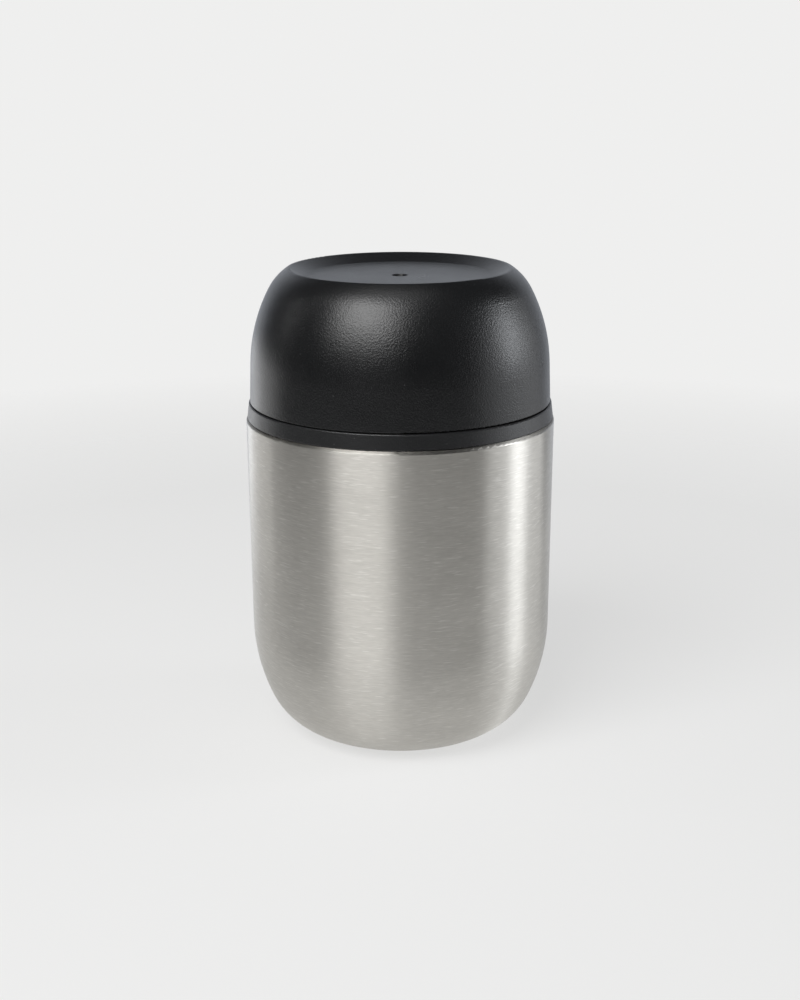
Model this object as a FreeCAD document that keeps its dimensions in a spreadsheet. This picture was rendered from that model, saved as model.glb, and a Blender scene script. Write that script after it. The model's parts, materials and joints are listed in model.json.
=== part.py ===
import FreeCAD, Part
import os
import re
import Sketcher

# Insulated food jar: a double-walled steel pot, a screw-in stopper with a vent button, and a screw-on
# dome that doubles as a bowl. Millimetres, +Z up, origin at the centre of the face the jar stands on.

SIZES = {
    # steel outer body
    "shell_radius": 50.0,
    "shell_height": 106.2,
    "shell_wall": 0.6,
    "shell_draft": 0.4,
    "side_end_height": 36.9,
    "belly_radius": 59.7,
    "heel_radius": 21.3,
    "shoulder_round": 1.0,
    "base_joint_height": 22.0,
    "neck_height": 15.3,
    # dished middle of the base
    "foot_inner_radius": 19.0,
    "recess_slope": 1.2,
    "recess_depth": 2.4,
    "pump_hole_radius": 1.5,
    "seal_bead_radius": 3.0,
    "seal_bead_height": 0.8,
    "cover_wall": 0.5,
    "cover_inset": 0.5,
    "cover_gap": 0.3,
    # getter, between the walls
    "getter_radius": 4.1,
    "getter_play": 0.1,
    "getter_height": 1.8,
    "getter_offset": 10.0,
    "holder_wall": 0.3,
    "holder_rim_height": 1.2,
    # steel inner pot and its foil
    "liner_gap": 5.5,
    "liner_wall": 0.5,
    "liner_floor": 8.0,
    "liner_heel_radius": 15.8,
    "liner_joint_height": 30.0,
    "liner_shoulder_drop": 6.0,
    "liner_shoulder_rise": 4.5,
    "neck_gap": 0.8,
    "foil_gap": 0.2,
    "foil_wall": 0.1,
    "foil_lift": 3.1,
    "foil_drop": 2.0,
    # plastic neck collar
    "collar_clearance": 0.1,
    "collar_seat": 0.1,
    "band_step": 0.4,
    "band_lean": 0.5,
    "band_height": 5.0,
    "band_round": 0.4,
    "sleeve_wall": 2.3,
    "mouth_step": 0.8,
    "mouth_height": 8.9,
    "collar_seal_offset": 2.0,
    "collar_seal_width": 2.5,
    "collar_seal_height": 1.2,
    # screw threads
    "bowl_lead": 8.0,
    "bowl_starts": 2,
    "bowl_thread_rise": 7.0,
    "stopper_lead": 4.0,
    "stopper_thread_rise": 3.8,
    "collar_ridge": 1.8,
    "stopper_ridge": 1.4,
    "ridge_side_gap": 0.6,
    "ridge_root_width": 2.0,
    "ridge_crest_width": 0.9,
    "ridge_sink": 0.5,
    "ridge_end_gap": 0.3,
    # bowl lid
    "seam_gap": 0.2,
    "bowl_step": 0.45,
    "bowl_draft": 1.96,
    "bowl_side_height": 12.7,
    "bowl_flank_radius": 53.9,
    "bowl_flank_turn": 27.7,
    "bowl_shoulder_radius": 18.0,
    "bowl_height": 42.75,
    "bowl_wall": 2.4,
    "bowl_inner_shoulder": 14.0,
    "crest_radius": 1.2,
    "top_slope_turn": 24.0,
    "top_recess_round": 3.0,
    "top_recess_depth": 2.65,
    "rim_round": 0.4,
    "dimple_radius": 2.7,
    "dimple_depth": 0.7,
    "dimple_slope": 0.6,
    # silicone ring in the bowl lid
    "lid_seal_lift": 0.15,
    "lid_seal_height": 1.5,
    "lid_seal_setback": 0.3,
    "lid_seal_bite": 0.4,
    "seal_clearance": 0.15,
    "ledge_setback": 0.1,
    "ledge_height": 1.3,
    # stopper
    "plug_depth": 9.5,
    "plug_gap": 0.9,
    "plug_wall": 1.6,
    "stopper_seal_lift": 0.1,
    "stopper_seal_height": 1.3,
    "stopper_seal_gap": 0.2,
    "stopper_seal_play": 0.3,
    "stopper_side_gap": 0.3,
    "head_lift": 1.0,
    "boss_wall": 3.0,
    "boss_height": 13.5,
    "foam_clearance": 0.3,
    "foam_headroom": 1.8,
    "head_step": 0.2,
    "head_height": 5.0,
    "head_round": 2.0,
    "head_plate": 2.2,
    "spigot_clearance": 0.1,
    "spigot_wall": 1.4,
    "spigot_depth": 3.0,
    "flute_radius": 5.0,
    "flute_depth": 1.6,
    "flute_count": 16,
    # vent
    "button_radius": 9.0,
    "button_gap": 0.25,
    "button_proud": 2.2,
    "button_height": 6.4,
    "button_wall": 1.4,
    "button_round": 1.0,
    "guide_wall": 1.4,
    "guide_depth": 8.5,
    "stem_radius": 2.4,
    "stem_fit": 0.05,
    "vent_passage": 0.6,
    "vent_seal_overlap": 2.2,
    "vent_seal_height": 1.5,
    "vent_seal_gap": 0.1,
    "stem_foot_step": 1.6,
    "stem_foot_height": 1.0,
    "spring_inset": 1.2,
    "spring_wire_radius": 0.35,
    "spring_turns": 4.5,
    "spring_seat_gap": 0.05,
}


def bound(formula):
    """A formula of size names, written as an expression on the sheet."""
    def named(word):
        return "Sizes." + word.group() if word.group() in SIZES else word.group()
    return re.sub(r"[a-z][a-z_]*[a-z]", named, formula)


def value(formula):
    """What a formula of size names comes to now."""
    number = sheet.evalExpression(bound(formula))
    return float(getattr(number, "Value", number))


def plane(body, role):
    return [item for item in body.Origin.OriginFeatures if item.Role == role][0]


def attached_sketch(body, name, role):
    sketch = body.newObject("Sketcher::SketchObject", name)
    sketch.AttachmentSupport = [(plane(body, role), "")]
    sketch.MapMode = "FlatFace"
    return sketch


def hold(sketch, kind, geometry, position, formula):
    """Hold one coordinate of a point at a formula of the sizes."""
    if value(formula) == 0:
        axis = -2 if kind == "DistanceX" else -1
        sketch.addConstraint(Sketcher.Constraint("PointOnObject", geometry, position, axis))
        return
    index = sketch.addConstraint(Sketcher.Constraint(kind, -1, 1, geometry, position, value(formula)))
    label = ("across_" if kind == "DistanceX" else "up_") + str(geometry)
    sketch.renameConstraint(index, label)
    sketch.setExpression(f"Constraints.{label}", bound(formula))


def outline(body, name, corners):
    """Closed sketch through corners (across, up) or (across, up, radius, turn), every one held by formulas.

    A corner with a radius starts an arc to the next corner; turn is 1 to the left and -1 to the right.
    """
    sketch = attached_sketch(body, name, "XZ_Plane")
    points = [FreeCAD.Vector(value(corner[0]), value(corner[1]), 0) for corner in corners]
    ends = []
    for index, corner in enumerate(corners):
        start = points[index]
        end = points[(index + 1) % len(points)]
        if len(corner) == 2:
            sketch.addGeometry(Part.LineSegment(start, end), False)
            ends.append((1, 2))
            continue
        chord = end - start
        to_centre = FreeCAD.Vector(-chord.y, chord.x, 0).normalize() * corner[3]
        radius = value(corner[2])
        rise = max(radius * radius - chord.Length * chord.Length / 4, 0) ** 0.5
        middle = (start + end) * 0.5 + to_centre * (rise - radius)
        sketch.addGeometry(Part.Arc(start, middle, end), False)
        ends.append((1, 2) if corner[3] > 0 else (2, 1))
    for index, corner in enumerate(corners):
        following = (index + 1) % len(corners)
        sketch.addConstraint(
            Sketcher.Constraint("Coincident", index, ends[index][1], following, ends[following][0]))
        hold(sketch, "DistanceX", index, ends[index][0], corner[0])
        hold(sketch, "DistanceY", index, ends[index][0], corner[1])
        if len(corner) == 4:
            held = sketch.addConstraint(Sketcher.Constraint("Radius", index, value(corner[2])))
            sketch.renameConstraint(held, f"round_{index}")
            sketch.setExpression(f"Constraints.round_{index}", bound(corner[2]))
    return sketch


def circle(body, name, radius, across="0", role="XY_Plane"):
    """Sketch of one circle whose centre lies on the X axis."""
    sketch = attached_sketch(body, name, role)
    centre = FreeCAD.Vector(value(across), 0, 0)
    sketch.addGeometry(Part.Circle(centre, FreeCAD.Vector(0, 0, 1), value(radius)), False)
    hold(sketch, "DistanceX", 0, 3, across)
    sketch.addConstraint(Sketcher.Constraint("PointOnObject", 0, 3, -1))
    held = sketch.addConstraint(Sketcher.Constraint("Radius", 0, value(radius)))
    sketch.renameConstraint(held, "round")
    sketch.setExpression("Constraints.round", bound(radius))
    return sketch


def new_body(node):
    body = doc.addObject("PartDesign::Body", node)
    body.Label = node
    return body


def turned_body(node, corners):
    """A piece turned once round the jar's axis from its closed outline."""
    body = new_body(node)
    sketch = outline(body, node + "_outline", corners)
    turned = body.newObject("PartDesign::Revolution", node + "_turned")
    turned.Profile = sketch
    turned.ReferenceAxis = (sketch, ["V_Axis"])
    turned.Angle = 360
    body.Tip = turned
    return body


def ring_corners(inner, outer, bottom, top):
    return [(inner, bottom), (outer, bottom), (outer, top), (inner, top)]


def ridge(body, name, sunk_radius, crest_radius, start, lead, rise, starts="1"):
    """A moulded screw ridge with a trapezoid section that climbs the body right-handed."""
    half_root = "ridge_root_width / 2"
    half_crest = "ridge_crest_width / 2"
    section = outline(body, name + "_section", [
        (sunk_radius, f"{start} - {half_root}"),
        (crest_radius, f"{start} - {half_crest}"),
        (crest_radius, f"{start} + {half_crest}"),
        (sunk_radius, f"{start} + {half_root}"),
    ])
    climb = body.newObject("PartDesign::AdditiveHelix", name)
    climb.Profile = section
    climb.ReferenceAxis = (section, ["V_Axis"])
    climb.Mode = "pitch-height-angle"
    climb.setExpression("Pitch", bound(lead))
    climb.setExpression("Height", bound(rise))
    body.Tip = climb
    if value(starts) > 1:
        copies = body.newObject("PartDesign::PolarPattern", name + "_starts")
        copies.Originals = [climb]
        copies.Axis = (section, ["V_Axis"])
        copies.Angle = 360
        copies.setExpression("Occurrences", bound(starts))
        body.Tip = copies


class Dish:
    """Formulas for the jar's flank: a drafted side, a wide belly arc and a tighter heel arc, all tangent.

    offset is how far inside the visible steel the surface lies, floor its lowest height and heel the
    radius of its tighter arc.
    """

    def __init__(self, offset, floor, heel):
        draft = "shell_draft * 1 deg"
        side_end = f"(shell_radius - tan({draft}) * (shell_height - side_end_height))"
        self.belly_x = f"({side_end} - belly_radius * cos({draft}))"
        self.belly_z = f"(side_end_height + belly_radius * sin({draft}))"
        self.belly = f"(belly_radius - ({offset}))"
        self.end_x = f"({self.belly_x} + {self.belly} * cos({draft}))"
        self.end_z = f"({self.belly_z} - {self.belly} * sin({draft}))"
        self.draft = draft
        self.floor = floor
        self.heel = heel
        reach = f"({self.belly} - ({heel}))"
        self.heel_z = f"({floor} + {heel})"
        fall = f"({self.belly_z} - {self.heel_z})"
        self.heel_x = f"({self.belly_x} + sqrt({reach}^2 - {fall}^2))"
        self.join_x = f"({self.belly_x} + {self.belly} * ({self.heel_x} - {self.belly_x}) / {reach})"
        self.join_z = f"({self.belly_z} - {self.belly} * {fall} / {reach})"

    def side(self, height):
        """Radius of the drafted side at a height above the belly arc."""
        return f"({self.end_x} + tan({self.draft}) * ({height} - {self.end_z}))"

    def curve(self, height):
        """Radius of the belly arc at a height between the side's end and the heel."""
        return f"({self.belly_x} + sqrt({self.belly}^2 - ({self.belly_z} - {height})^2))"


class Dome:
    """Formulas for the bowl lid's side, flank and shoulder; offset is how far inside the skin they lie."""

    def __init__(self, offset):
        draft = "bowl_draft * 1 deg"
        side_end = f"({BOWL_RADIUS} - tan({draft}) * bowl_side_height)"
        self.flank_x = f"({side_end} - bowl_flank_radius * cos({draft}))"
        self.flank_z = f"({BOWL_BOTTOM} + bowl_side_height - bowl_flank_radius * sin({draft}))"
        self.flank = f"(bowl_flank_radius - ({offset}))"
        self.end_x = f"({self.flank_x} + {self.flank} * cos({draft}))"
        self.end_z = f"({self.flank_z} + {self.flank} * sin({draft}))"
        self.rim_x = f"({self.end_x} + tan({draft}) * ({self.end_z} - {BOWL_BOTTOM}))"

    def curve(self, height):
        """Radius of the flank arc at a height above the straight side."""
        return f"({self.flank_x} + sqrt({self.flank}^2 - ({height} - {self.flank_z})^2))"


# Heights from the steel shoulder up
BAND_BOTTOM = "(shell_height + collar_seat)"
BAND_TOP = f"({BAND_BOTTOM} + band_height)"
BOWL_BOTTOM = f"({BAND_TOP} + seam_gap)"
BOWL_TOP = f"({BOWL_BOTTOM} + bowl_height)"
NECK_TOP = "(shell_height + neck_height)"
LIP = f"({NECK_TOP} + liner_wall)"
COLLAR_LEDGE = f"({LIP} + collar_clearance)"
COLLAR_TOP = f"({COLLAR_LEDGE} + mouth_height)"
LID_SEAL_BOTTOM = f"({COLLAR_TOP} + lid_seal_lift)"
SEAL_BOTTOM = f"({LIP} + stopper_seal_lift)"
SEAL_TOP = f"({SEAL_BOTTOM} + stopper_seal_height)"
PLUG_BOTTOM = f"({LIP} - plug_depth)"
FLOOR_TOP = f"({PLUG_BOTTOM} + plug_wall)"
BOSS_TOP = f"({PLUG_BOTTOM} + boss_height)"
STOPPER_RIM = f"({COLLAR_TOP} + head_lift)"
HEAD_TOP = f"({STOPPER_RIM} + head_height)"
GUIDE_BOTTOM = f"({HEAD_TOP} - guide_depth)"
BUTTON_TOP = f"({HEAD_TOP} + button_proud)"
BUTTON_ROOF = f"({BUTTON_TOP} - button_wall)"
VENT_SEAL_TOP = f"({PLUG_BOTTOM} - vent_seal_gap)"
VENT_SEAL_BOTTOM = f"({VENT_SEAL_TOP} - vent_seal_height)"

# Radii from the visible skin inwards
BAND_LOW_RADIUS = "(shell_radius - band_step)"
BAND_HIGH_RADIUS = f"({BAND_LOW_RADIUS} - band_lean)"
BOWL_RADIUS = f"({BAND_HIGH_RADIUS} - bowl_step)"
SKIN = Dome("0")
BOWL_INSIDE = Dome("bowl_wall")
COLLAR_CREST = f"({BOWL_INSIDE.end_x} - ridge_side_gap)"
SLEEVE_RADIUS = f"({COLLAR_CREST} - collar_ridge)"
BOWL_CREST = f"({SLEEVE_RADIUS} + ridge_side_gap)"
COLLAR_BORE = f"({SLEEVE_RADIUS} - sleeve_wall)"
NECK_RADIUS = f"({COLLAR_BORE} - collar_clearance)"
POT_NECK = f"({NECK_RADIUS} - shell_wall - neck_gap)"
POT_MOUTH = f"({POT_NECK} - liner_wall)"
MOUTH_RADIUS = f"({COLLAR_BORE} + mouth_step)"
STOPPER_CREST = f"({MOUTH_RADIUS} - stopper_side_gap)"
STOPPER_ROOT = f"({STOPPER_CREST} - stopper_ridge)"
MOUTH_CREST = f"({STOPPER_ROOT} + ridge_side_gap)"
PLUG_RADIUS = f"({POT_MOUTH} - plug_gap)"
PLUG_INSIDE = f"({PLUG_RADIUS} - plug_wall)"
HEAD_RADIUS = f"({STOPPER_ROOT} - head_step)"
LID_SEAL_INNER = f"({MOUTH_RADIUS} + lid_seal_setback)"
LEDGE_RADIUS = f"({LID_SEAL_INNER} + ledge_setback)"
RECESS_RADIUS = "(foot_inner_radius - recess_slope)"
WELL = "(button_radius + button_gap)"
STEM_BORE = "(stem_radius + vent_passage)"
BOSS_RADIUS = f"({STEM_BORE} + boss_wall)"
VENT_SEAL_RADIUS = f"({STEM_BORE} + vent_seal_overlap)"

# Where the ridges of each pair of threads start, half a step apart
BOWL_RIDGE = f"({BOWL_BOTTOM} + ridge_end_gap + ridge_root_width / 2)"
COLLAR_RIDGE = f"({BOWL_RIDGE} + bowl_lead / (2 * bowl_starts))"
STOPPER_RIDGE = f"({SEAL_TOP} + ridge_end_gap + ridge_root_width / 2)"
MOUTH_RIDGE = f"({STOPPER_RIDGE} + stopper_lead / 2)"
MOUTH_RIDGE_RISE = f"({COLLAR_TOP} - ridge_end_gap - ridge_root_width / 2 - {MOUTH_RIDGE})"

OUTSIDE = Dish("0", "0", "heel_radius")
INSIDE = Dish("shell_wall", "shell_wall", "heel_radius - shell_wall")
POT_OUTSIDE = Dish("liner_gap", "liner_floor", "liner_heel_radius")
POT_INSIDE = Dish("liner_gap + liner_wall", "liner_floor + liner_wall", "liner_heel_radius - liner_wall")
POT_SHOULDER = "(shell_height - liner_shoulder_drop)"


def outer_shell():
    """Brushed side wall, rolled in at the shoulder and drawn up as the neck."""
    turn_in = "(shell_height - shoulder_round)"
    edge = OUTSIDE.side(turn_in)
    flat = f"({edge} - shoulder_round)"
    turned_body("outer_shell", [
        (OUTSIDE.curve("base_joint_height"), "base_joint_height", OUTSIDE.belly, 1),
        (OUTSIDE.end_x, OUTSIDE.end_z),
        (edge, turn_in, "shoulder_round", 1),
        (flat, "shell_height"),
        (NECK_RADIUS, "shell_height"),
        (NECK_RADIUS, NECK_TOP),
        (f"{NECK_RADIUS} - shell_wall", NECK_TOP),
        (f"{NECK_RADIUS} - shell_wall", "shell_height - shell_wall"),
        (flat, "shell_height - shell_wall", "shoulder_round - shell_wall", -1),
        (f"{edge} - shell_wall", turn_in),
        (INSIDE.end_x, INSIDE.end_z, INSIDE.belly, -1),
        (INSIDE.curve("base_joint_height"), "base_joint_height"),
    ])


def outer_base():
    """Bowl-shaped steel bottom, welded under the side wall, with a raised middle and the pump hole."""
    turned_body("outer_base", [
        ("pump_hole_radius", "recess_depth"),
        (RECESS_RADIUS, "recess_depth"),
        ("foot_inner_radius", "0"),
        (OUTSIDE.heel_x, "0", OUTSIDE.heel, 1),
        (OUTSIDE.join_x, OUTSIDE.join_z, OUTSIDE.belly, 1),
        (OUTSIDE.curve("base_joint_height"), "base_joint_height"),
        (INSIDE.curve("base_joint_height"), "base_joint_height", INSIDE.belly, -1),
        (INSIDE.join_x, INSIDE.join_z, INSIDE.heel, -1),
        (INSIDE.heel_x, "shell_wall"),
        ("foot_inner_radius + shell_wall", "shell_wall"),
        (f"{RECESS_RADIUS} + shell_wall", "recess_depth + shell_wall"),
        ("pump_hole_radius", "recess_depth + shell_wall"),
    ])


def vacuum_seal():
    """Braze plug in the pump hole with a flat bead below it."""
    turned_body("vacuum_seal", [
        ("0", "recess_depth - seal_bead_height"),
        ("seal_bead_radius - seal_bead_height", "recess_depth - seal_bead_height"),
        ("seal_bead_radius", "recess_depth"),
        ("pump_hole_radius", "recess_depth"),
        ("pump_hole_radius", "recess_depth + shell_wall"),
        ("0", "recess_depth + shell_wall"),
    ])


def base_cover():
    """Pressed disc with a short rim that stands against the raised middle of the base."""
    outer = f"({RECESS_RADIUS} - cover_gap)"
    turned_body("base_cover", [
        ("0", "cover_inset"),
        (outer, "cover_inset"),
        (outer, "recess_depth"),
        (f"{outer} - cover_wall", "recess_depth"),
        (f"{outer} - cover_wall", "cover_inset + cover_wall"),
        ("0", "cover_inset + cover_wall"),
    ])


def getter_holder():
    """Small dish, spot-welded on the inside of the base."""
    body = turned_body("getter_holder", [
        ("0", "0"),
        ("getter_radius + getter_play + holder_wall", "0"),
        ("getter_radius + getter_play + holder_wall", "holder_wall + holder_rim_height"),
        ("getter_radius + getter_play", "holder_wall + holder_rim_height"),
        ("getter_radius + getter_play", "holder_wall"),
        ("0", "holder_wall"),
    ])
    body.setExpression("Placement.Base.x", bound("getter_offset"))
    body.setExpression("Placement.Base.z", bound("recess_depth + shell_wall"))


def getter():
    """Tablet that takes up the gas left between the walls."""
    body = new_body("getter")
    disc = body.newObject("PartDesign::Pad", "disc")
    disc.Profile = circle(body, "disc_outline", "getter_radius")
    disc.setExpression("Length", bound("getter_height"))
    body.Tip = disc
    body.setExpression("Placement.Base.x", bound("getter_offset"))
    body.setExpression("Placement.Base.z", bound("recess_depth + shell_wall + holder_wall"))


def inner_liner():
    """Drawn steel pot wall: straight side, sloped shoulder, neck and a lip welded over the outer neck."""
    slope_end = f"({POT_SHOULDER} + liner_shoulder_rise)"
    turned_body("inner_liner", [
        (POT_OUTSIDE.curve("liner_joint_height"), "liner_joint_height", POT_OUTSIDE.belly, 1),
        (POT_OUTSIDE.end_x, POT_OUTSIDE.end_z),
        (POT_OUTSIDE.side(POT_SHOULDER), POT_SHOULDER),
        (POT_NECK, slope_end),
        (POT_NECK, NECK_TOP),
        (NECK_RADIUS, NECK_TOP),
        (NECK_RADIUS, LIP),
        (POT_MOUTH, LIP),
        (POT_MOUTH, f"{slope_end} - liner_wall / 2"),
        (POT_INSIDE.side(POT_SHOULDER), f"{POT_SHOULDER} - liner_wall / 2"),
        (POT_INSIDE.end_x, POT_INSIDE.end_z, POT_INSIDE.belly, -1),
        (POT_INSIDE.curve("liner_joint_height"), "liner_joint_height"),
    ])


def liner_base():
    """Dished bottom of the pot, butt-welded to its wall."""
    turned_body("liner_base", [
        ("0", "liner_floor"),
        (POT_OUTSIDE.heel_x, "liner_floor", POT_OUTSIDE.heel, 1),
        (POT_OUTSIDE.join_x, POT_OUTSIDE.join_z, POT_OUTSIDE.belly, 1),
        (POT_OUTSIDE.curve("liner_joint_height"), "liner_joint_height"),
        (POT_INSIDE.curve("liner_joint_height"), "liner_joint_height", POT_INSIDE.belly, -1),
        (POT_INSIDE.join_x, POT_INSIDE.join_z, POT_INSIDE.heel, -1),
        (POT_INSIDE.heel_x, "liner_floor + liner_wall"),
        ("0", "liner_floor + liner_wall"),
    ])


def heat_shield():
    """Foil sleeve round the straight part of the pot."""
    inner = Dish("liner_gap - foil_gap", "liner_floor", "liner_heel_radius")
    outer = Dish("liner_gap - foil_gap - foil_wall", "liner_floor", "liner_heel_radius")
    bottom = "(side_end_height + foil_lift)"
    top = f"({POT_SHOULDER} - foil_drop)"
    turned_body("heat_shield", [
        (inner.side(bottom), bottom),
        (outer.side(bottom), bottom),
        (outer.side(top), top),
        (inner.side(top), top),
    ])


def neck_collar():
    """Visible band on the steel shoulder, with a sleeve that carries both screw threads."""
    groove_inner = f"({NECK_RADIUS} + collar_seal_offset - collar_clearance)"
    groove_outer = f"({NECK_RADIUS} + collar_seal_offset + collar_seal_width + collar_clearance)"
    groove_top = "(shell_height + collar_seal_height)"
    body = turned_body("neck_collar", [
        (COLLAR_BORE, BAND_BOTTOM),
        (groove_inner, BAND_BOTTOM),
        (groove_inner, groove_top),
        (groove_outer, groove_top),
        (groove_outer, BAND_BOTTOM),
        (f"{BAND_LOW_RADIUS} - band_round", BAND_BOTTOM, "band_round", 1),
        (BAND_LOW_RADIUS, f"{BAND_BOTTOM} + band_round"),
        (BAND_HIGH_RADIUS, f"{BAND_TOP} - band_round", "band_round", 1),
        (f"{BAND_HIGH_RADIUS} - band_round", BAND_TOP),
        (SLEEVE_RADIUS, BAND_TOP),
        (SLEEVE_RADIUS, COLLAR_TOP),
        (MOUTH_RADIUS, COLLAR_TOP),
        (MOUTH_RADIUS, COLLAR_LEDGE),
        (COLLAR_BORE, COLLAR_LEDGE),
    ])
    ridge(body, "outer_thread", f"{SLEEVE_RADIUS} - ridge_sink", COLLAR_CREST,
          COLLAR_RIDGE, "bowl_lead", "bowl_thread_rise", "bowl_starts")
    ridge(body, "mouth_thread", f"{MOUTH_RADIUS} + ridge_sink", MOUTH_CREST,
          MOUTH_RIDGE, "stopper_lead", MOUTH_RIDGE_RISE)


def collar_seal():
    """Ring that keeps water out of the joint between band and shoulder."""
    inner = f"({NECK_RADIUS} + collar_seal_offset)"
    turned_body("collar_seal", ring_corners(
        inner, f"{inner} + collar_seal_width", "shell_height", "shell_height + collar_seal_height"))


def bowl_lid():
    """Dome that screws over the collar: foot ring and recess on top, thread and seal groove inside."""
    turn = "bowl_flank_turn * 1 deg"
    reach = f"({SKIN.flank} - bowl_shoulder_radius)"
    shoulder_x = f"({SKIN.flank_x} + {reach} * cos({turn}))"
    shoulder_z = f"({SKIN.flank_z} + {reach} * sin({turn}))"
    crest_reach = "(bowl_shoulder_radius - crest_radius)"
    crest_rise = f"({BOWL_TOP} - crest_radius - {shoulder_z})"
    crest_x = f"({shoulder_x} + sqrt({crest_reach}^2 - {crest_rise}^2))"
    crest_join_x = f"({shoulder_x} + bowl_shoulder_radius * ({crest_x} - {shoulder_x}) / {crest_reach})"
    crest_join_z = f"({shoulder_z} + bowl_shoulder_radius * {crest_rise} / {crest_reach})"
    slope = "top_slope_turn * 1 deg"
    slope_top_x = f"({crest_x} - crest_radius * sin({slope}))"
    slope_top_z = f"({BOWL_TOP} - crest_radius * (1 - cos({slope})))"
    slope_fall = f"(top_recess_depth - (crest_radius + top_recess_round) * (1 - cos({slope})))"
    slope_foot_x = f"({slope_top_x} - {slope_fall} / tan({slope}))"
    floor_edge = f"({slope_foot_x} - top_recess_round * sin({slope}))"
    floor = f"({BOWL_TOP} - top_recess_depth)"
    ceiling = f"({floor} - bowl_wall)"
    corner_reach = f"({BOWL_INSIDE.flank} - bowl_inner_shoulder)"
    corner_rise = f"({ceiling} - bowl_inner_shoulder - {BOWL_INSIDE.flank_z})"
    corner_x = f"({BOWL_INSIDE.flank_x} + sqrt({corner_reach}^2 - {corner_rise}^2))"
    corner_run = f"({corner_x} - {BOWL_INSIDE.flank_x})"
    corner_join_x = f"({BOWL_INSIDE.flank_x} + {BOWL_INSIDE.flank} * {corner_run} / {corner_reach})"
    corner_join_z = f"({BOWL_INSIDE.flank_z} + {BOWL_INSIDE.flank} * {corner_rise} / {corner_reach})"
    groove_bottom = f"({LID_SEAL_BOTTOM} - seal_clearance)"
    ledge_bottom = f"({LID_SEAL_BOTTOM} + lid_seal_height + seal_clearance)"
    ledge_top = f"({ledge_bottom} + ledge_height)"
    groove = f"({BOWL_INSIDE.curve(COLLAR_TOP)} + lid_seal_bite)"
    body = turned_body("bowl_lid", [
        (f"{BOWL_RADIUS} - rim_round", BOWL_BOTTOM, "rim_round", 1),
        (BOWL_RADIUS, f"{BOWL_BOTTOM} + rim_round"),
        (SKIN.end_x, SKIN.end_z, SKIN.flank, 1),
        (f"{SKIN.flank_x} + {SKIN.flank} * cos({turn})", f"{SKIN.flank_z} + {SKIN.flank} * sin({turn})",
         "bowl_shoulder_radius", 1),
        (crest_join_x, crest_join_z, "crest_radius", 1),
        (slope_top_x, slope_top_z),
        (slope_foot_x, f"{slope_top_z} - {slope_fall}", "top_recess_round", -1),
        (floor_edge, floor),
        ("dimple_radius", floor),
        ("dimple_radius - dimple_slope", f"{floor} - dimple_depth"),
        ("0", f"{floor} - dimple_depth"),
        ("0", ceiling),
        (corner_x, ceiling, "bowl_inner_shoulder", -1),
        (corner_join_x, corner_join_z, BOWL_INSIDE.flank, -1),
        (BOWL_INSIDE.curve(ledge_top), ledge_top),
        (LEDGE_RADIUS, ledge_top),
        (LEDGE_RADIUS, ledge_bottom),
        (groove, ledge_bottom),
        (groove, groove_bottom),
        (BOWL_INSIDE.curve(groove_bottom), groove_bottom, BOWL_INSIDE.flank, -1),
        (BOWL_INSIDE.end_x, BOWL_INSIDE.end_z),
        (BOWL_INSIDE.rim_x, BOWL_BOTTOM),
    ])
    ridge(body, "inner_thread", f"{BOWL_INSIDE.end_x} + ridge_sink", BOWL_CREST,
          BOWL_RIDGE, "bowl_lead", "bowl_thread_rise", "bowl_starts")


def lid_seal():
    """Flat silicone ring between the collar's top and the ledge inside the bowl lid."""
    outer = f"({BOWL_INSIDE.curve(COLLAR_TOP)} + lid_seal_bite - seal_clearance)"
    turned_body("lid_seal", ring_corners(
        LID_SEAL_INNER, outer, LID_SEAL_BOTTOM, f"{LID_SEAL_BOTTOM} + lid_seal_height"))


def stopper_body():
    """Hollow plug with the screw thread, the seal seat and a boss round the vent stem."""
    body = turned_body("stopper_body", [
        (STEM_BORE, PLUG_BOTTOM),
        (PLUG_RADIUS, PLUG_BOTTOM),
        (PLUG_RADIUS, SEAL_TOP),
        (STOPPER_ROOT, SEAL_TOP),
        (STOPPER_ROOT, STOPPER_RIM),
        (PLUG_INSIDE, STOPPER_RIM),
        (PLUG_INSIDE, FLOOR_TOP),
        (BOSS_RADIUS, FLOOR_TOP),
        (BOSS_RADIUS, BOSS_TOP),
        (STEM_BORE, BOSS_TOP),
    ])
    ridge(body, "stopper_thread", f"{STOPPER_ROOT} - ridge_sink", STOPPER_CREST,
          STOPPER_RIDGE, "stopper_lead", "stopper_thread_rise")


def stopper_insulation():
    """Foam ring in the hollow of the plug."""
    turned_body("stopper_insulation", ring_corners(
        f"{BOSS_RADIUS} + foam_clearance", f"{PLUG_INSIDE} - foam_clearance",
        f"{FLOOR_TOP} + foam_clearance / 3", f"{GUIDE_BOTTOM} - foam_headroom"))


def stopper_seal():
    """Silicone ring on the steel lip, narrow enough to pass the thread in the collar's mouth."""
    turned_body("stopper_seal", ring_corners(
        f"{PLUG_RADIUS} + stopper_seal_gap", f"{MOUTH_CREST} - stopper_seal_play", SEAL_BOTTOM, SEAL_TOP))


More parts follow.
